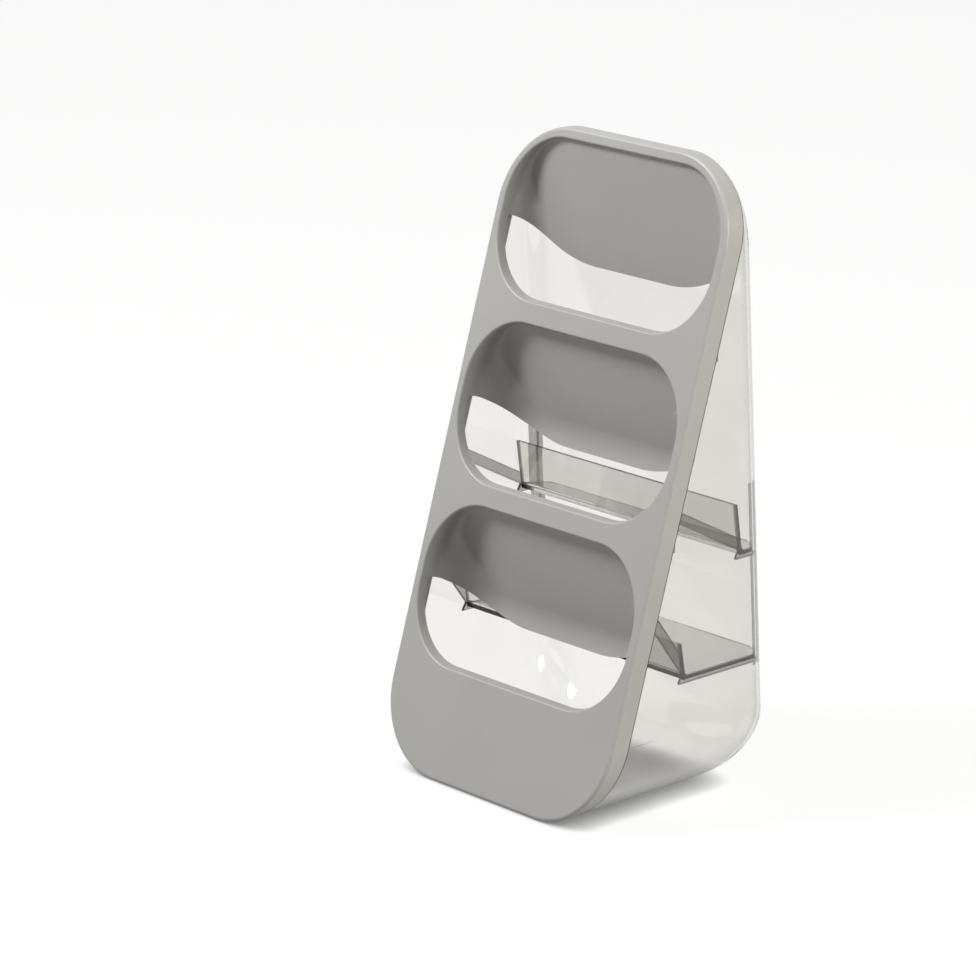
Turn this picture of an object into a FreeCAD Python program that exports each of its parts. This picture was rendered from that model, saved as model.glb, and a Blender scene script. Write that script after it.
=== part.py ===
import FreeCAD, Part
import Sketcher
import os
import re

# Three-tier standing cutlery holder: a clear moulded shell, an opaque front cover
# with three scooped openings, and two clear trays that floor the two upper tiers.
# Millimetres, +Z up, the front towards -Y, origin under the middle of the base.

SIZES = [
    ("overall_width", 158.8, "across the sides"),
    ("overall_height", 315.6, "table to the top of the cap"),
    ("base_depth", 124.6, "front edge to the line of the back wall, along the table"),
    ("cap_depth", 9.66, "front to back across the flat top"),
    ("back_lean", 3.4, "degrees that the back wall leans forward"),
    ("bottom_corner", 41.5, "radius of the lower corners, seen from the front"),
    ("top_corner", 41.5, "radius of the upper corners, seen from the front"),
    ("base_curve", 34.0, "radius between the base and the back wall"),
    ("back_edge", 13.0, "radius between the back wall and the sides"),
    ("cap_edge", 2.6, "radius along the top of the back wall"),
    ("front_edge", 1.6, "radius round the face of the cover"),
    ("shell_wall", 1.8, "wall of the clear shell"),
    ("cover_wall", 2.2, "wall of the skirt of the cover"),
    ("face_wall", 2.6, "thickness of the face of the cover, along Y"),
    ("skirt_depth", 11.0, "depth of the skirt of the cover, along Y"),
    ("joint_gap", 0.3, "gap between the cover and the shell"),
    ("lowest_edge", 53.55, "table to the lower edge of the lowest opening"),
    ("opening_straight", 10.5, "straight part of the sides of an opening"),
    ("bridge", 10.6, "height of the face between two openings"),
    ("top_margin", 5.35, "height of the face over the top opening"),
    ("rim_round", 0.9, "radius on the rim of an opening"),
    ("lip_depth", 5.6, "depth of the inward lip round an opening, along Y"),
    ("lip_wall", 1.5, "wall of the lips and of the scoops"),
    ("scoop_rise", 15.5, "lower edge of a scoop over the bottom of its opening"),
    ("scoop_flat", 50.0, "straight part of the lower edge of a scoop"),
    ("scoop_sweep", 70.0, "radius that lifts the two ends of that edge"),
    ("scoop_corner", 24.0, "radius between the back and the sides of the two lower scoops"),
    ("high_scoop_corner", 15.0, "the same radius in the top scoop"),
    ("scoop_top", 5.6, "depth of the two lower scoops at the top of the opening"),
    ("scoop_reach", 37.8, "depth of the two lower scoops at their lower edge"),
    ("high_scoop_top", 2.6, "depth of the top scoop at the top of the opening"),
    ("high_scoop_reach", 25.5, "depth of the top scoop at its lower edge"),
    ("tray_wall", 1.6, "thickness of the trays"),
    ("tray_gap", 0.4, "gap between a tray and the shell"),
    ("tray_bend", 3.0, "inner radius between the floor and front wall of a tray"),
    ("upper_drop", 107.15, "floor of the upper tray below the lower edge of the top opening"),
    ("upper_front", 62.5, "front wall of the upper tray behind the face"),
    ("upper_rise", 24.0, "height of the front wall of the upper tray"),
    ("upper_lean", 3.5, "how far forward the top of that wall leans"),
    ("lower_drop", 73.25, "floor of the lower tray below the lower edge of the middle opening"),
    ("lower_front", 41.8, "front wall of the lower tray behind the face"),
    ("lower_rise", 17.0, "height of the front wall of the lower tray"),
    ("lower_lean", 3.0, "how far forward the top of that wall leans"),
    ("rail_width", 1.2, "how far the rails stand in from the sides of the shell"),
    ("rail_gap", 0.4, "gap between the rails and the walls round the openings"),
    ("ledge_height", 1.8, "height of the level part of a rail, under its tray"),
    ("ramp_height", 5.2, "height of the ramp of a rail, square to its slope"),
    ("ramp_start", 0.9, "front end of the ramps, behind the joint"),
    ("upper_ramp_slope", 0.53, "fall of the upper ramps for each unit of depth"),
    ("lower_ramp_slope", 1.36, "fall of the lower ramps for each unit of depth"),
    ("foot_rise", 2.4, "lower end of a ramp over the underside of its tray"),
    ("foot_reach", 2.4, "how far a ledge reaches forward under its ramp"),
    ("tab_reach", 2.0, "reach of a snap tab into the shell"),
    ("tab_width", 8.4, "width of a snap tab"),
    ("tab_wall", 1.5, "thickness of a snap tab"),
    ("base_tab_offset", 26.0, "distance of the lower tabs from the middle"),
]

# What follows from the sizes: slopes, and what is left for the openings and the trays.
DERIVED = [
    ("back_slope", "tan(back_lean)"),
    ("panel_slope", "(base_depth - cap_depth) / overall_height - back_slope"),
    ("opening_width", "overall_width - 2 * (shell_wall + rail_width + rail_gap + lip_wall)"),
    ("opening_height", "(overall_height - top_margin - lowest_edge - 2 * bridge) / 3"),
    ("opening_pitch", "opening_height + bridge"),
    ("lowest_centre", "lowest_edge + opening_height / 2"),
    ("opening_radius", "(opening_height - opening_straight) / 2"),
    ("upper_floor", "lowest_edge + 2 * opening_pitch - upper_drop"),
    ("lower_floor", "lowest_edge + opening_pitch - lower_drop"),
]

# Only has to reach past the part, as the size of a cutting block.
FAR = 400.0
NEAR_FACE = 0.05
ROOT = "Sizes"

doc = FreeCAD.newDocument("cutlery_holder")
sheet = doc.addObject("Spreadsheet::Sheet", ROOT)
for row, (alias, number, note) in enumerate(SIZES, start=1):
    sheet.set(f"A{row}", str(number))
    sheet.setAlias(f"A{row}", alias)
    sheet.set(f"B{row}", note)
for row, (alias, formula) in enumerate(DERIVED, start=len(SIZES) + 1):
    sheet.set(f"A{row}", f"={formula}")
    sheet.setAlias(f"A{row}", alias)
doc.recompute()
ALIASES = {line[0] for line in SIZES + DERIVED}


def named(text):
    """The expression with each size name pointing at its cell."""
    return re.sub(r"[a-z_]+", lambda word: f"{ROOT}.{word[0]}" if word[0] in ALIASES else word[0], text)


def value(text):
    """The number that an expression of size names has now."""
    return float(sheet.evalExpression(named(text)))


def bind(thing, sizes):
    for prop, text in sizes.items():
        thing.setExpression(prop, named(text))


def face_y(height, behind="0"):
    """Depth of the front face at a height, plus a distance behind it."""
    return f"(({height}) * panel_slope + {behind})"


def back_y(height, inset="0"):
    """Depth of the back wall at a height, less an inset."""
    return f"(base_depth - ({inset}) - ({height}) * back_slope)"


def pair(kind, name, base, tool):
    result = doc.addObject(kind, name)
    result.Base = base
    result.Tool = tool
    doc.recompute()
    return result


def cut(name, base, tool):
    return pair("Part::Cut", name, base, tool)


def common(name, base, tool):
    return pair("Part::Common", name, base, tool)


def fuse(name, *things):
    result = doc.addObject("Part::MultiFuse", name)
    result.Shapes = list(things)
    doc.recompute()
    return result


def draw_outline(sketch, corners):
    """Closed outline whose every corner is tied to expressions of the sizes."""
    spots = [FreeCAD.Vector(value(across), value(up), 0) for across, up in corners]
    total = len(spots)
    for index in range(total):
        sketch.addGeometry(Part.LineSegment(spots[index], spots[(index + 1) % total]), False)
    for index in range(total):
        sketch.addConstraint(Sketcher.Constraint("Coincident", index, 2, (index + 1) % total, 1))
    for index, (across, up) in enumerate(corners):
        place = (("DistanceX", across, spots[index].x), ("DistanceY", up, spots[index].y))
        for kind, text, distance in place:
            number = sketch.addConstraint(Sketcher.Constraint(kind, -1, 1, index, 1, distance))
            sketch.setExpression(f"Constraints[{number}]", named(text))


def side_block(name, corners):
    """Block with the given side view, as (depth, height), right across the part."""
    sketch = doc.addObject("Sketcher::SketchObject", f"{name}_side")
    sketch.Placement.Rotation = FreeCAD.Rotation(FreeCAD.Vector(1, 1, 1), 120)
    draw_outline(sketch, corners)
    block = doc.addObject("Part::Extrusion", name)
    block.Base = sketch
    block.DirMode = "Custom"
    block.Dir = FreeCAD.Vector(1, 0, 0)
    block.LengthFwd = FAR
    block.Symmetric = True
    block.Solid = True
    doc.recompute()
    return block


def ends_of(edge):
    return edge.valueAt(edge.FirstParameter), edge.valueAt(edge.LastParameter)


def rounded(name, base, radius_at):
    """Fillet each edge for which radius_at gives a radius at both of its ends."""
    chosen = []
    for number, edge in enumerate(base.Shape.Edges, start=1):
        radii = radius_at(edge)
        if radii:
            chosen.append((number, radii[0], radii[1]))
    fillet = doc.addObject("Part::Fillet", name)
    fillet.Base = base
    fillet.Edges = chosen
    doc.recompute()
    return fillet


def runs_front_to_back(edge):
    first, last = ends_of(edge)
    return abs(first.x - last.x) < NEAR_FACE and abs(first.z - last.z) < NEAR_FACE


def front_block(name, width, low, high, low_radius, high_radius):
    """Block with a rounded front view, right through the part from front to back."""
    box = doc.addObject("Part::Box", f"{name}_box")
    bind(box, {"Length": width, "Height": f"({high}) - ({low})",
               "Placement.Base.x": f"-({width}) / 2", "Placement.Base.z": low})
    box.Width = 2 * FAR
    box.Placement.Base.y = -FAR
    doc.recompute()
    middle = value(f"(({low}) + ({high})) / 2")

    def corner_radius(edge):
        if not runs_front_to_back(edge):
            return None
        radius = value(low_radius) if ends_of(edge)[0].z < middle else value(high_radius)
        return (radius, radius) if radius > 0 else None

    return rounded(name, box, corner_radius)


def lies_behind(edge, depth_at):
    """Whether the whole edge lies on the surface whose depth depends on the height."""
    span = edge.LastParameter - edge.FirstParameter
    spots = [edge.valueAt(edge.FirstParameter + span * step / 4) for step in range(5)]
    return all(abs(spot.y - depth_at(spot.z)) < NEAR_FACE for spot in spots)


def envelope(name, inset):
    """The holder's form without its slanted front, moved in by an inset on every side."""
    block = front_block(f"{name}_front_view", f"overall_width - 2 * ({inset})", inset,
                        f"overall_height - ({inset})", f"bottom_corner - ({inset})",
                        f"top_corner - ({inset})")
    behind = side_block(f"{name}_behind", [
        (back_y("-20", inset), "-20"),
        (f"base_depth + {FAR}", "-20"),
        (f"base_depth + {FAR}", "overall_height + 20"),
        (back_y("overall_height + 20", inset), "overall_height + 20"),
    ])
    trimmed = cut(f"{name}_cut", block, behind)
    depth = value(f"base_depth - ({inset})")
    slope = value("back_slope")
    base_radius = value(f"base_curve - ({inset})")
    edge_radius = value(f"back_edge - ({inset})")
    cap_radius = value(f"cap_edge - ({inset})")
    bottom = value(inset) + NEAR_FACE
    top = value(f"overall_height - ({inset})") - NEAR_FACE


    def radius_for(height):
        if height < bottom:
            return base_radius
        return cap_radius if height > top else edge_radius

    def back_radius(edge):
        if not lies_behind(edge, lambda height: depth - height * slope):
            return None
        return [radius_for(spot.z) for spot in ends_of(edge)]

    return rounded(name, trimmed, back_radius)


# The whole outer form, with the slanted front face cut and its edge rounded.
outer_block = envelope("outer_block", "0")
before_face = side_block("before_face", [
    (face_y("-20"), "-20"),
    (face_y("overall_height + 20"), "overall_height + 20"),
    (f"-{FAR}", "overall_height + 20"),
    (f"-{FAR}", "-20"),
])
outer_cut = cut("outer_cut", outer_block, before_face)


def on_front_face(edge):
    slope = value("panel_slope")
    radius = value("front_edge")
    return (radius, radius) if lies_behind(edge, lambda height: height * slope) else None


outer_form = rounded("outer_form", outer_cut, on_front_face)


def slanted_slab(name, start, end):
    """Everything between two distances behind the front face."""
    return side_block(name, [
        (face_y("-20", start), "-20"),
        (face_y("-20", end), "-20"),
        (face_y("overall_height + 20", end), "overall_height + 20"),
        (face_y("overall_height + 20", start), "overall_height + 20"),
    ])


# Clear shell: the part of the form behind the joint, hollow and open at the front.
shell_zone = slanted_slab("shell_zone", "skirt_depth + joint_gap", f"{FAR}")
shell_form = common("shell_form", outer_form, shell_zone)
shell_inside = envelope("shell_inside", "shell_wall")
shell_skin = cut("shell_skin", shell_form, shell_inside)

# Rails on both sides of the shell: a ramp down from the joint, then level under the tray.
TRAYS = {
    "upper": {"floor": "upper_floor", "front": "upper_front", "rise": "upper_rise",
              "lean": "upper_lean", "slope": "upper_ramp_slope"},
    "lower": {"floor": "lower_floor", "front": "lower_front", "rise": "lower_rise",
              "lean": "lower_lean", "slope": "lower_ramp_slope"},
}


def tray_bend(tray):
    """Depth at which the floor of a tray turns up into its front wall."""
    return face_y(tray["floor"], tray["front"])


def rail_side_view(tray):
    """A ramp down from the joint to the front of the tray, and a ledge under the tray."""
    slope = tray["slope"]
    under = f"({tray['floor']} - tray_wall)"
    lean = f"({tray['lean']} / ({tray['rise']} + tray_wall))"
    gap = "(skirt_depth + joint_gap + ramp_start)"

    def before_tray(height):
        """Depth just in front of the leaning front wall of the tray."""
        return f"({tray_bend(tray)} - tray_wall - tray_gap - (({height}) - {under}) * {lean})"

    def at_joint(line_height):
        """Where a ramp line that has this height at zero depth starts behind the joint."""
        depth = f"(({gap} + {line_height} * panel_slope) / (1 + {slope} * panel_slope))"
        return depth, f"({line_height} - {slope} * {depth})"

    foot_height = f"({under} + foot_rise)"
    foot = before_tray(foot_height)
    lower_line = f"({foot_height} + {slope} * {foot})"
    upper_line = f"({lower_line} + ramp_height * sqrt(1 + {slope} ^ 2))"
    crest = before_tray(f"{upper_line} - {slope} * {foot}")
    rear = back_y(tray["floor"], "shell_wall / 2")
    return [
        at_joint(upper_line),
        (crest, f"({upper_line} - {slope} * {crest})"),
        (before_tray(under), under),
        (rear, under),
        (rear, f"({under} - ledge_height)"),
        (f"({foot} - foot_reach)", f"({under} - ledge_height)"),
        (foot, foot_height),
        at_joint(lower_line),
    ]


rail_blocks = [side_block(f"{key}_rail_block", rail_side_view(tray)) for key, tray in TRAYS.items()]
rails_across = fuse("rails_across", *rail_blocks)
between_rails = doc.addObject("Part::Box", "between_rails")
bind(between_rails, {"Length": "overall_width - 2 * (shell_wall + rail_width)",
                     "Placement.Base.x": "shell_wall + rail_width - overall_width / 2"})
between_rails.Width = FAR
between_rails.Height = FAR
side_rails = cut("side_rails", rails_across, between_rails)
rails = common("rails", side_rails, shell_form)
body_shell = fuse("body_shell", shell_skin, rails)


tray_space = envelope("tray_space", "shell_wall + tray_gap")


def make_tray(name, tray):
    """Flat floor against the back wall, with a front wall that leans forward."""
    body = doc.addObject("PartDesign::Body", f"{name}_sheet")
    plane = next(item for item in body.Origin.OriginFeatures if item.Role == "YZ_Plane")
    sketch = body.newObject("Sketcher::SketchObject", f"{name}_side")
    sketch.AttachmentSupport = (plane, [""])
    sketch.MapMode = "FlatFace"
    bend = tray_bend(tray)
    top = f"({tray['floor']} + {tray['rise']})"
    draw_outline(sketch, [
        (f"{bend} - tray_wall", f"{tray['floor']} - tray_wall"),
        ("base_depth", f"{tray['floor']} - tray_wall"),
        ("base_depth", tray["floor"]),
        (bend, tray["floor"]),
        (f"{bend} - {tray['lean']}", top),
        (f"{bend} - tray_wall - {tray['lean']}", top),
    ])
    pad = body.newObject("PartDesign::Pad", f"{name}_pad")
    pad.Profile = sketch
    pad.Midplane = True
    bind(pad, {"Length": "overall_width"})
    doc.recompute()
    floor = value(tray["floor"])
    front = value(bend)
    bends = [f"Edge{number}" for number, edge in enumerate(pad.Shape.Edges, start=1)
             if all(abs(spot.y - front) < NEAR_FACE and abs(spot.z - floor) < NEAR_FACE
                    for spot in ends_of(edge))]
    round_bend = body.newObject("PartDesign::Fillet", f"{name}_bend")
    round_bend.Base = (pad, bends)
    bind(round_bend, {"Radius": "tray_bend"})
    doc.recompute()
    # The sheet is trimmed to the inside of the shell, less a gap all round.
    return common(name, body, tray_space)


upper_tray = make_tray("upper_tray", TRAYS["upper"])
lower_tray = make_tray("lower_tray", TRAYS["lower"])

# Front cover: face, skirt and cap in one skin.
cover_zone = slanted_slab("cover_zone", "-20", "skirt_depth")
cover_form = common("cover_form", outer_form, cover_zone)
cover_inside = envelope("cover_inside", "cover_wall")
behind_face = slanted_slab("behind_face", "face_wall", f"{FAR}")
cover_hollow = common("cover_hollow", cover_inside, behind_face)
cover_skin = cut("cover_skin", cover_form, cover_hollow)

SCOOPS = [
    {"name": "lower", "level": "0", "top": "scoop_top", "reach": "scoop_reach",
     "corner": "scoop_corner"},
    {"name": "middle", "level": "1", "top": "scoop_top", "reach": "scoop_reach",
     "corner": "scoop_corner"},
    {"name": "upper", "level": "2", "top": "high_scoop_top", "reach": "high_scoop_reach",
     "corner": "high_scoop_corner"},
]
# Share of the full corner radius that a scoop has where the corner of its opening ends.
SHOULDER = 0.65
TOP_SHARE = 0.75


def opening_centre(scoop):
    return f"(lowest_centre + {scoop['level']} * opening_pitch)"


def opening_block(name, scoop, grow):
    """The opening's rounded outline, grown by a wall, right through the part."""
    centre = opening_centre(scoop)
    half = f"(opening_height / 2 + {grow})"
    corner = f"opening_radius + {grow}"
    return front_block(name, f"opening_width + 2 * {grow}", f"{centre} - {half}",
                       f"{centre} + {half}", corner, corner)


def scoop_block(name, scoop, grow):
    """The opening run back to the slanted rear of its scoop, with soft rear corners."""
    top = f"({opening_centre(scoop)} + opening_height / 2)"
    fall = f"(({scoop['reach']} - {scoop['top']}) / (opening_height - scoop_rise))"

    def rear(height):
        return face_y(height, f"{scoop['top']} + {grow} + ({top} - ({height})) * {fall}")

    high = f"{top} + 20"
    low = f"{top} - opening_height - 20"
    before = side_block(f"{name}_before", [
        (f"-{FAR}", low), (rear(low), low), (rear(high), high), (f"-{FAR}", high)])
    tunnel = opening_block(f"{name}_tunnel", scoop, grow)
    block = common(f"{name}_block", tunnel, before)
    at_zero = value(rear("0"))
    slope = value(rear("1")) - at_zero
    wall = value(grow)
    top_height = value(top) + wall
    shoulder_height = value(f"{top} - opening_radius")
    full = value(scoop["corner"])
    top_radius = TOP_SHARE * value(scoop["top"]) + wall

    def radius_for(height):
        if height > top_height - NEAR_FACE:
            return top_radius
        if height > shoulder_height - NEAR_FACE:
            return SHOULDER * full + wall
        return full + wall

    def rear_radius(edge):
        if not lies_behind(edge, lambda height: at_zero + slope * height):
            return None
        return [radius_for(spot.z) for spot in ends_of(edge)]

    return rounded(name, block, rear_radius)


lips = []
scoops = []
hollows = []
scoop_zone = slanted_slab("scoop_zone", "face_wall / 2", f"{FAR}")
for scoop in SCOOPS:
    label = scoop["name"]
    lip_outline = opening_block(f"{label}_lip_outline", scoop, "lip_wall")
    # Above the middle of the opening the scoop itself is the inner wall.
    centre = opening_centre(scoop)
    below = f"({centre} - opening_height)"
    lip_zone = side_block(f"{label}_lip_zone", [
        (face_y(below, "face_wall / 2"), below), (face_y(below, "lip_depth"), below),
        (face_y(centre, "lip_depth"), centre), (face_y(centre, "face_wall / 2"), centre)])
    lips.append(common(f"{label}_lip", lip_outline, lip_zone))
    outside = scoop_block(f"{label}_scoop_outside", scoop, "lip_wall")
    behind = common(f"{label}_scoop_behind", outside, scoop_zone)
    edge_height = f"({opening_centre(scoop)} - opening_height / 2 + scoop_rise)"
    kept = front_block(f"{label}_scoop_edge", "scoop_flat + 2 * scoop_sweep", edge_height,
                       f"{edge_height} + opening_height + 2 * scoop_sweep", "scoop_sweep", "0")
    scoops.append(common(f"{label}_scoop", behind, kept))
    hollows.append(scoop_block(f"{label}_scoop_inside", scoop, "0"))

# Snap tabs: four on the sides between the openings and two on the base.
def tab(name, sizes):
    box = doc.addObject("Part::Box", name)
    bind(box, sizes)
    doc.recompute()
    return box


tabs = []
side_in = "(overall_width / 2 - shell_wall - joint_gap - tab_wall)"
for level, label in (("0.5", "low"), ("1.5", "high")):
    height = f"(lowest_centre + {level} * opening_pitch)"
    for side, place in (("left", f"-{side_in} - tab_wall"), ("right", side_in)):
        tabs.append(tab(f"{label}_{side}_tab", {
            "Length": "tab_wall",
            "Width": "skirt_depth + tab_reach - face_wall",
            "Height": "tab_width",
            "Placement.Base.x": place,
            "Placement.Base.y": face_y(height, "face_wall"),
            "Placement.Base.z": f"{height} - tab_width / 2",
        }))
        root_place = place if side == "right" else f"-{side_in} - tab_wall - 2 * joint_gap"
        tabs.append(tab(f"{label}_{side}_tab_root", {
            "Length": "tab_wall + 2 * joint_gap",
            "Width": "skirt_depth - face_wall - joint_gap - tab_width / 2 * panel_slope",
            "Height": "tab_width",
            "Placement.Base.x": root_place,
            "Placement.Base.y": face_y(height, "face_wall"),
            "Placement.Base.z": f"{height} - tab_width / 2",
        }))
for side, place in (("left", "-base_tab_offset - tab_width"), ("right", "base_tab_offset")):
    tabs.append(tab(f"base_{side}_tab", {
        "Length": "tab_width",
        "Width": "skirt_depth + tab_reach - face_wall",
        "Height": "tab_wall",
        "Placement.Base.x": place,
        "Placement.Base.y": "face_wall",
        "Placement.Base.z": "shell_wall + joint_gap",
    }))
    tabs.append(tab(f"base_{side}_tab_root", {
        "Length": "tab_width",
        "Width": "skirt_depth - face_wall - joint_gap",
        "Height": "tab_wall + 2 * joint_gap",
        "Placement.Base.x": place,
        "Placement.Base.y": "face_wall",
        "Placement.Base.z": "shell_wall - joint_gap",
    }))

cover_solid = cover_skin
for number, inner_wall in enumerate(lips + scoops, start=1):
    cover_solid = pair("Part::Fuse", f"cover_solid_{number}", cover_solid, inner_wall)
cover_hollows = fuse("cover_hollows", *hollows)
cover_open = cut("cover_open", cover_solid, cover_hollows)


def on_opening_rim(edge):
    """Edges of the three openings, where they meet the slanted face."""
    slope = value("panel_slope")
    half = value("opening_width") / 2 + NEAR_FACE
    inside = all(abs(spot.x) < half for spot in ends_of(edge))
    radius = value("rim_round")
    above = min(spot.z for spot in ends_of(edge)) > value("front_edge")
    below = max(spot.z for spot in ends_of(edge)) < value("overall_height - front_edge")
    if inside and above and below and lies_behind(edge, lambda height: height * slope):
        return (radius, radius)
    return None


cover_rimmed = rounded("cover_rimmed", cover_open, on_opening_rim)
front_cover = fuse("front_cover", cover_rimmed, *tabs)

# The origin is under the middle of the footprint. The rounded front edge and the curve at
# the foot of the back wall both shorten the depth that stands over the table.
FOREMOST = "(front_edge * (panel_slope + sqrt(1 + panel_slope ^ 2) - 1))"
REARMOST = "(base_depth - base_curve * (back_slope + sqrt(1 + back_slope ^ 2) - 1))"
PARTS = {
    "body_shell": body_shell,
    "front_cover": front_cover,
    "upper_tray": upper_tray,
    "lower_tray": lower_tray,
}
for label, piece in PARTS.items():
    piece.Label = label
    bind(piece, {"Placement.Base.y": f"-({FOREMOST} + {REARMOST}) / 2"})
doc.recompute()

for item in doc.Objects:
    if "Invalid" in item.State or "Error" in item.State:
        raise RuntimeError(f"{item.Name} failed: {item.State}")
for label, piece in PARTS.items():
    shape = piece.Shape
    if shape.isNull() or not shape.isValid() or len(shape.Solids) != 1:
        raise RuntimeError(f"{label} is not one valid solid: {len(shape.Solids)} solids")

os.makedirs("parts", exist_ok=True)
for label, piece in PARTS.items():
    piece.Shape.exportStep(os.path.join("parts", f"{label}.step"))
    box = piece.Shape.BoundBox
    print(label, "volume", round(piece.Shape.Volume), "x", round(box.XMin, 2), round(box.XMax, 2),
          "y", round(box.YMin, 2), round(box.YMax, 2), "z", round(box.ZMin, 2), round(box.ZMax, 2))
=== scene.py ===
import math
import bpy
from mathutils import Matrix, Vector

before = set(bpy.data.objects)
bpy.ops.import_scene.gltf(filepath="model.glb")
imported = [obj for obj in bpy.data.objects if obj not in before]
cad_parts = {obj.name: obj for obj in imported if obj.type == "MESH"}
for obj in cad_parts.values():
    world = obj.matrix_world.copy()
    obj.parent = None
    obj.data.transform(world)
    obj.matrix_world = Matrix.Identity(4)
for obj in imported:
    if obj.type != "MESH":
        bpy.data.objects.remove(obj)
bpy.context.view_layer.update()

# The holder is seen from about two metres, turned to show its right side and a little
# from above, so that its upright edges stay almost parallel.
AZIMUTH = math.radians(47.62)
ELEVATION = math.radians(16.466)
DISTANCE = 2.0976
AIM = Vector((-0.02197, -0.0361, 0.14941))
SENSOR = 36
LENS_PER_SENSOR = 4300 / 976
CLIP_NEAR = 0.1
CLIP_FAR = 100
away = Vector((math.sin(AZIMUTH) * math.cos(ELEVATION),
               -math.cos(AZIMUTH) * math.cos(ELEVATION),
               math.sin(ELEVATION)))
sideways = Vector((math.cos(AZIMUTH), math.sin(AZIMUTH), 0))
upward = away.cross(sideways)
lens = bpy.data.cameras.new("viewing_camera")
lens.sensor_width = SENSOR
lens.lens = LENS_PER_SENSOR * SENSOR
lens.clip_start = CLIP_NEAR
lens.clip_end = CLIP_FAR
camera = bpy.data.objects.new("viewing_camera", lens)
camera.matrix_world = Matrix((
    (sideways.x, upward.x, away.x, 0),
    (sideways.y, upward.y, away.y, 0),
    (sideways.z, upward.z, away.z, 0),
    (0, 0, 0, 1)))
camera.location = AIM + away * DISTANCE
bpy.context.scene.collection.objects.link(camera)
bpy.context.scene.camera = camera
bpy.context.scene.view_settings.view_transform = "Standard"


# The front cover is one opaque moulding: face, skirt, cap and three scooped openings.
# It is a warm grey plastic with a fine satin grain from the mould, and its thin rims and
# edges carry a painted highlight, a lighter tint laid along them.
GREY_DARK = (0.338, 0.332, 0.315, 1)
GREY_LIGHT = (0.358, 0.352, 0.334, 1)
GREY_RIM_HIGHLIGHT = (0.41, 0.405, 0.39, 1)
GREY_SKIN = {"Grain Scale": 2400, "Wave Scale": 18, "Wave Share": 0.25}
GREY_HIGHLIGHT_BAND = {"Width": 0.0006, "Sharpness": 3.0}
GREY_SMOOTH = 0.40
GREY_ROUGH = 0.46
GREY_RELIEF = 0.12
GREY_RELIEF_DEPTH = 0.0002
PLASTIC_IOR = 1.5
BLOTCH_LOW = 0.3
BLOTCH_HIGH = 0.7
CREASE = math.radians(30)


def add_node(tree, kind, inputs=None, **settings):
    """A node with its plain properties set, and its inputs set by name."""
    node = tree.nodes.new(kind)
    for key, setting in settings.items():
        setattr(node, key, setting)
    for key, setting in (inputs or {}).items():
        node.inputs[key].default_value = setting
    return node


def new_plastic(name):
    """An empty material, with its output and a plastic shader."""
    material = bpy.data.materials.new(name)
    material.use_nodes = True
    tree = material.node_tree
    tree.nodes.clear()
    out = add_node(tree, "ShaderNodeOutputMaterial")
    shader = add_node(tree, "ShaderNodeBsdfPrincipled", {"IOR": PLASTIC_IOR})
    tree.links.new(shader.outputs["BSDF"], out.inputs["Surface"])
    return material, tree, shader


def new_group(name, inputs, outputs):
    """A node group with number sockets, and its two ends."""
    group = bpy.data.node_groups.new(name, "ShaderNodeTree")
    for label, start in inputs.items():
        socket = group.interface.new_socket(
            label, in_out="INPUT", socket_type="NodeSocketFloat")
        socket.default_value = start
    for label in outputs:
        group.interface.new_socket(
            label, in_out="OUTPUT", socket_type="NodeSocketFloat")
    return group, add_node(group, "NodeGroupInput"), add_node(group, "NodeGroupOutput")


def make_moulded_skin():
    """Height and blotches of a surface that copies its mould: fine grain, slow waves."""
    group, given, result = new_group(
        "moulded_skin", {"Grain Scale": 2600.0, "Wave Scale": 14.0, "Wave Share": 0.5},
        ("Height", "Blotch"))
    place = add_node(group, "ShaderNodeTexCoord")
    grain = add_node(group, "ShaderNodeTexNoise", {"Detail": 3.0, "Roughness": 0.6})
    wave = add_node(group, "ShaderNodeTexNoise", {"Detail": 2.0, "Roughness": 0.45})
    blend = add_node(group, "ShaderNodeMix", data_type="FLOAT")
    group.links.new(place.outputs["Object"], grain.inputs["Vector"])
    group.links.new(place.outputs["Object"], wave.inputs["Vector"])
    group.links.new(given.outputs["Grain Scale"], grain.inputs["Scale"])
    group.links.new(given.outputs["Wave Scale"], wave.inputs["Scale"])
    group.links.new(given.outputs["Wave Share"], blend.inputs["Factor"])
    group.links.new(grain.outputs["Fac"], blend.inputs["A"])
    group.links.new(wave.outputs["Fac"], blend.inputs["B"])
    group.links.new(blend.outputs["Result"], result.inputs["Height"])
    group.links.new(wave.outputs["Fac"], result.inputs["Blotch"])
    return group


def make_edge_band():
    """One along the sharp edges of a moulding and zero on its flat faces."""
    group, given, result = new_group(
        "edge_band", {"Width": 0.0008, "Sharpness": 6.0}, ("Mask",))
    flat = add_node(group, "ShaderNodeNewGeometry")
    soft = add_node(group, "ShaderNodeBevel", samples=6)
    turn = add_node(group, "ShaderNodeVectorMath", operation="DOT_PRODUCT")
    bent = add_node(group, "ShaderNodeMath", {0: 1.0}, operation="SUBTRACT")
    gain = add_node(group, "ShaderNodeMath", operation="MULTIPLY", use_clamp=True)
    group.links.new(given.outputs["Width"], soft.inputs["Radius"])
    group.links.new(flat.outputs["Normal"], turn.inputs[0])
    group.links.new(soft.outputs["Normal"], turn.inputs[1])
    group.links.new(turn.outputs["Value"], bent.inputs[1])
    group.links.new(bent.outputs[0], gain.inputs[0])
    group.links.new(given.outputs["Sharpness"], gain.inputs[1])
    group.links.new(gain.outputs[0], result.inputs["Mask"])
    return group


moulded_skin = make_moulded_skin()
edge_band = make_edge_band()


def two_tones(tree, mask, dark, light):
    """A colour that drifts between two tones with the blotches of the moulding."""
    ramp = add_node(tree, "ShaderNodeValToRGB")
    first, last = ramp.color_ramp.elements
    first.position, first.color = BLOTCH_LOW, dark
    last.position, last.color = BLOTCH_HIGH, light
    tree.links.new(mask, ramp.inputs["Fac"])
    return ramp.outputs["Color"]


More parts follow.
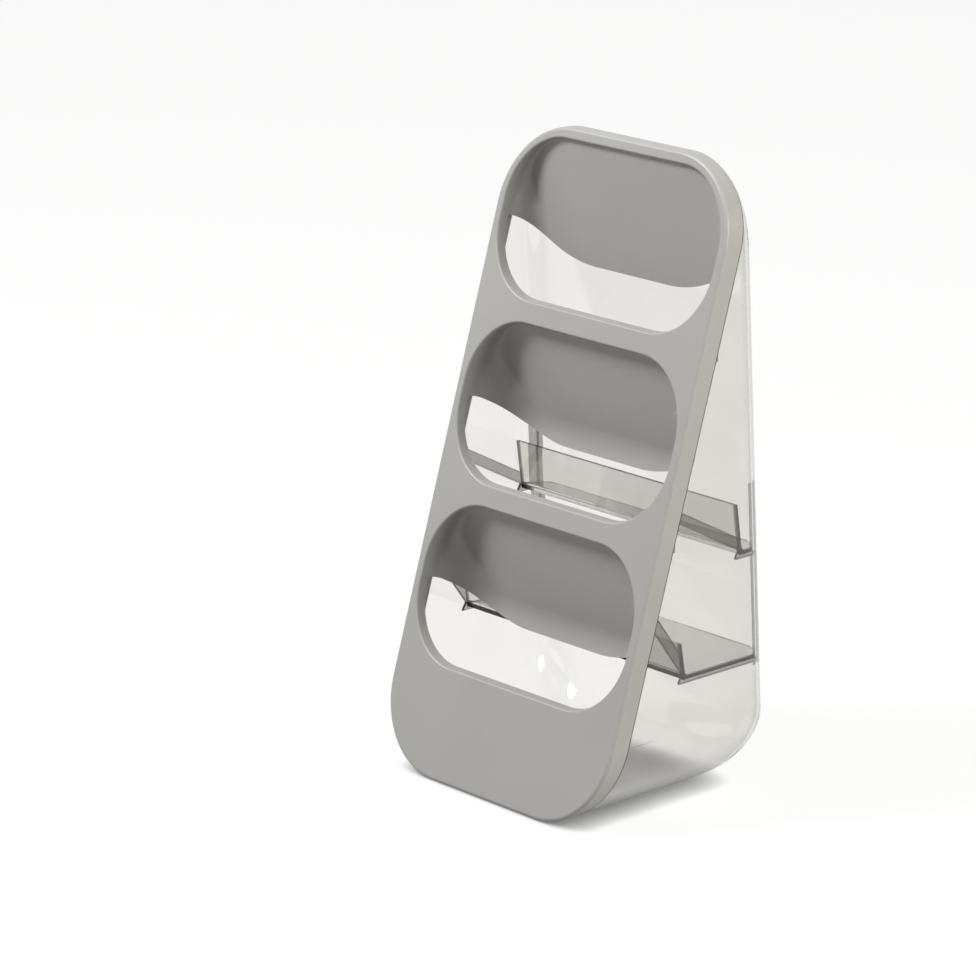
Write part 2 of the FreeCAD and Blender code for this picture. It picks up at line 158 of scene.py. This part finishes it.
def drifting_gloss(tree, mask, shader, smooth, rough):
    """Roughness that drifts with the blotches."""
    span = add_node(tree, "ShaderNodeMapRange", {
        "From Min": BLOTCH_LOW, "From Max": BLOTCH_HIGH,
        "To Min": smooth, "To Max": rough})
    tree.links.new(mask, span.inputs["Value"])
    tree.links.new(span.outputs["Result"], shader.inputs["Roughness"])


def tinted(tree, mask, colour, tint):
    """The colour, turning into the tint where the mask is one."""
    mix = add_node(tree, "ShaderNodeMix", data_type="RGBA")
    colours = [socket for socket in mix.inputs if socket.type == "RGBA"]
    colours[1].default_value = tint
    tree.links.new(mask, mix.inputs["Factor"])
    tree.links.new(colour, colours[0])
    return next(socket for socket in mix.outputs if socket.type == "RGBA")


def raised(tree, height, shader, strength, depth):
    """Relief of the surface, as deep in metres as the depth says."""
    bump = add_node(tree, "ShaderNodeBump", {"Strength": strength, "Distance": depth})
    tree.links.new(height, bump.inputs["Height"])
    tree.links.new(bump.outputs["Normal"], shader.inputs["Normal"])


def dress(node_name, material):
    """Gives a moulding its material, and smooth shading that keeps crisp edges."""
    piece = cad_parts[node_name]
    piece.data.materials.clear()
    piece.data.materials.append(material)
    piece.data.shade_smooth()
    piece.data.set_sharp_from_angle(angle=CREASE)


satin_grey, tree, shader = new_plastic("satin_grey_plastic")
skin = add_node(tree, "ShaderNodeGroup", GREY_SKIN, node_tree=moulded_skin)
highlight_band = add_node(tree, "ShaderNodeGroup", GREY_HIGHLIGHT_BAND, node_tree=edge_band)
grey = two_tones(tree, skin.outputs["Blotch"], GREY_DARK, GREY_LIGHT)
# Painted highlight: the rims and edges are tinted lighter.
grey = tinted(tree, highlight_band.outputs["Mask"], grey, GREY_RIM_HIGHLIGHT)
tree.links.new(grey, shader.inputs["Base Color"])
drifting_gloss(tree, skin.outputs["Blotch"], shader, GREY_SMOOTH, GREY_ROUGH)
raised(tree, skin.outputs["Height"], shader, GREY_RELIEF, GREY_RELIEF_DEPTH)
dress("front_cover", satin_grey)


# The body shell and the two trays are thin clear mouldings, glossy on both sides, with
# slow waves from the mould. Painted shade darkens the plastic where it is seen edge-on,
# along its rims and on the ribs of the shell that carry the trays, which are thicker than
# the wall; it stands in for the dark look that refraction gives these places.
SHELL_TONES = ((0.852, 0.843, 0.82, 1), (0.876, 0.867, 0.845, 1))
SHELL_WAVE_SCALE = 22
SHELL_EDGE_SHADE = (0.03, 0.028, 0.026, 1)
SHELL_RIMS = {"Width": 0.0011, "Sharpness": 7.0}
TRAY_TONES = ((0.70, 0.69, 0.665, 1), (0.73, 0.72, 0.695, 1))
TRAY_WAVE_SCALE = 30
TRAY_EDGE_SHADE = (0.3, 0.29, 0.27, 1)
TRAY_RIMS = {"Width": 0.0009, "Sharpness": 4.0}
CLEAR_GRAIN_SCALE = 900
CLEAR_WAVE_SHARE = 0.9
CLEAR_SMOOTH = 0.015
CLEAR_ROUGH = 0.04
CLEAR_RELIEF = 0.06
CLEAR_RELIEF_DEPTH = 0.0005
GRAZING_SHADE = (0.42, 0.41, 0.375, 1)
GRAZING_STARTS = 0.38
GRAZING_FULL = 0.85
RIB_SHADE = (0.15, 0.145, 0.135, 1)
RIB_FROM_MIDDLE = 0.0765
RIB_HALF_DEPTH = 0.0010
RIBS_HEIGHT = 0.111
RIBS_HALF_HEIGHT = 0.047


def on_ribs(tree):
    """One on the ribs that stand in from the two side walls, and zero elsewhere."""
    place = add_node(tree, "ShaderNodeTexCoord")
    split = add_node(tree, "ShaderNodeSeparateXYZ")
    aside = add_node(tree, "ShaderNodeMath", operation="ABSOLUTE")
    beside = add_node(tree, "ShaderNodeMath", {1: RIB_FROM_MIDDLE, 2: RIB_HALF_DEPTH},
                      operation="COMPARE")
    level = add_node(tree, "ShaderNodeMath", {1: RIBS_HEIGHT, 2: RIBS_HALF_HEIGHT},
                     operation="COMPARE")
    both = add_node(tree, "ShaderNodeMath", operation="MULTIPLY")
    tree.links.new(place.outputs["Object"], split.inputs[0])
    tree.links.new(split.outputs["X"], aside.inputs[0])
    tree.links.new(aside.outputs[0], beside.inputs[0])
    tree.links.new(split.outputs["Z"], level.inputs[0])
    tree.links.new(beside.outputs[0], both.inputs[0])
    tree.links.new(level.outputs[0], both.inputs[1])
    return both.outputs[0]


def make_clear_plastic(name, tones, wave_scale, edge_shade, edge_rims):
    """Clear plastic with painted shade where it turns away, on the ribs and along its
    edges.
    """
    material, tree, shader = new_plastic(name)
    shader.inputs["Transmission Weight"].default_value = 1.0
    skin = add_node(tree, "ShaderNodeGroup", {
        "Grain Scale": CLEAR_GRAIN_SCALE, "Wave Scale": wave_scale,
        "Wave Share": CLEAR_WAVE_SHARE}, node_tree=moulded_skin)
    edges = add_node(tree, "ShaderNodeGroup", edge_rims, node_tree=edge_band)
    turned = add_node(tree, "ShaderNodeLayerWeight", {"Blend": 0.5})
    grazing = add_node(tree, "ShaderNodeMapRange", {
        "From Min": GRAZING_STARTS, "From Max": GRAZING_FULL})
    tree.links.new(turned.outputs["Facing"], grazing.inputs["Value"])
    colour = two_tones(tree, skin.outputs["Blotch"], *tones)
    # Painted shade: darker where the surface turns away from the view.
    colour = tinted(tree, grazing.outputs["Result"], colour, GRAZING_SHADE)
    # Painted shade on the ribs that carry the trays.
    colour = tinted(tree, on_ribs(tree), colour, RIB_SHADE)
    # Painted shade: dark lines along the edges.
    colour = tinted(tree, edges.outputs["Mask"], colour, edge_shade)
    tree.links.new(colour, shader.inputs["Base Color"])
    drifting_gloss(tree, skin.outputs["Blotch"], shader, CLEAR_SMOOTH, CLEAR_ROUGH)
    raised(tree, skin.outputs["Height"], shader, CLEAR_RELIEF, CLEAR_RELIEF_DEPTH)
    return material


dress("body_shell", make_clear_plastic(
    "clear_shell_plastic", SHELL_TONES, SHELL_WAVE_SCALE, SHELL_EDGE_SHADE, SHELL_RIMS))
clear_tray = make_clear_plastic(
    "clear_tray_plastic", TRAY_TONES, TRAY_WAVE_SCALE, TRAY_EDGE_SHADE, TRAY_RIMS)
dress("upper_tray", clear_tray)
dress("lower_tray", clear_tray)


# The table is plain white and so is the wall behind it. Close under the rounded edges of
# the holder the table is darker, where its base keeps the light out.
TABLE_RADIUS = 12
TABLE_SIDES = 96
TABLE_GAP = 0.0003
TABLE_LIT = (0.3, 0.3, 0.297, 1)
TABLE_FAINT = (0.1, 0.1, 0.1, 1)
SHADE_REACH = 0.013
SHADE = {"From Min": 0.05, "From Max": 0.75, "To Min": 0.16, "To Max": 0.9}
WARM_WHITE = (1, 1, 0.996, 1)
PURE_WHITE = (1, 1, 1, 1)
ROOM_SEEN = 0.985
ROOM_LIGHT = 0.22


def seen_directly(tree):
    """One for rays that show the surface itself, straight, mirrored or through plastic."""
    path = add_node(tree, "ShaderNodeLightPath")
    first = add_node(tree, "ShaderNodeMath", operation="MAXIMUM")
    second = add_node(tree, "ShaderNodeMath", operation="MAXIMUM")
    tree.links.new(path.outputs["Is Camera Ray"], first.inputs[0])
    tree.links.new(path.outputs["Is Glossy Ray"], first.inputs[1])
    tree.links.new(first.outputs[0], second.inputs[0])
    tree.links.new(path.outputs["Is Transmission Ray"], second.inputs[1])
    return second.outputs[0]


def make_white_table():
    """White where it is seen, dark close under the holder, and grey as a reflector."""
    material = bpy.data.materials.new("white_table")
    material.use_nodes = True
    tree = material.node_tree
    tree.nodes.clear()
    out = add_node(tree, "ShaderNodeOutputMaterial")
    plain = add_node(tree, "ShaderNodeBsdfDiffuse", {"Color": TABLE_LIT})
    faint = add_node(tree, "ShaderNodeBsdfDiffuse", {"Color": TABLE_FAINT})
    shade = add_node(tree, "ShaderNodeAmbientOcclusion", {"Distance": SHADE_REACH},
                     samples=12)
    level = add_node(tree, "ShaderNodeMapRange", SHADE)
    glow = add_node(tree, "ShaderNodeEmission", {"Color": WARM_WHITE})
    shown = add_node(tree, "ShaderNodeAddShader")
    choose = add_node(tree, "ShaderNodeMixShader")
    tree.links.new(shade.outputs["AO"], level.inputs["Value"])
    tree.links.new(level.outputs["Result"], glow.inputs["Strength"])
    tree.links.new(faint.outputs[0], shown.inputs[0])
    tree.links.new(glow.outputs[0], shown.inputs[1])
    tree.links.new(seen_directly(tree), choose.inputs["Fac"])
    tree.links.new(plain.outputs[0], choose.inputs[1])
    tree.links.new(shown.outputs[0], choose.inputs[2])
    tree.links.new(choose.outputs[0], out.inputs["Surface"])
    return material


bpy.ops.mesh.primitive_circle_add(
    vertices=TABLE_SIDES, radius=TABLE_RADIUS, fill_type="NGON",
    location=(0, 0, -TABLE_GAP))
table = bpy.context.object
table.name = "table"
table.data.materials.append(make_white_table())

room = bpy.data.worlds.new("studio")
room.use_nodes = True
room_tree = room.node_tree
room_tree.nodes.clear()
room_out = add_node(room_tree, "ShaderNodeOutputWorld")
room_light = add_node(room_tree, "ShaderNodeBackground", {
    "Color": PURE_WHITE, "Strength": ROOM_LIGHT})
room_white = add_node(room_tree, "ShaderNodeBackground", {
    "Color": WARM_WHITE, "Strength": ROOM_SEEN})
room_mix = add_node(room_tree, "ShaderNodeMixShader")
room_tree.links.new(seen_directly(room_tree), room_mix.inputs["Fac"])
room_tree.links.new(room_light.outputs[0], room_mix.inputs[1])
room_tree.links.new(room_white.outputs[0], room_mix.inputs[2])
room_tree.links.new(room_mix.outputs[0], room_out.inputs["Surface"])
bpy.context.scene.world = room


# Two softboxes light the holder: one in front, high and to the left, and one beside it on
# the right, a little behind the face, which lights the skirt but not into the openings.
LIT_SPOT = Vector((0, 0, 0.15))
FRONT_SPOT = (-0.8, -0.95, 1.55)
FRONT_SIZE = 0.6
FRONT_POWER = 39
FRONT_WHITE = (1, 1, 1)
SIDE_SPOT = (1.5, 0.25, 0.9)
SIDE_SIZE = 0.8
SIDE_POWER = 27
SIDE_WARM = (1, 0.97, 0.93)


def soft_lamp(name, spot, size, power, colour):
    """A round softbox that faces the middle of the holder."""
    lamp = bpy.data.lights.new(name, "AREA")
    lamp.shape = "DISK"
    lamp.size = size
    lamp.energy = power
    lamp.color = colour
    holder = bpy.data.objects.new(name, lamp)
    holder.location = spot
    towards = LIT_SPOT - Vector(spot)
    holder.rotation_euler = towards.to_track_quat("-Z", "Y").to_euler()
    bpy.context.scene.collection.objects.link(holder)


soft_lamp("front_softbox", FRONT_SPOT, FRONT_SIZE, FRONT_POWER, FRONT_WHITE)
soft_lamp("side_softbox", SIDE_SPOT, SIDE_SIZE, SIDE_POWER, SIDE_WARM)
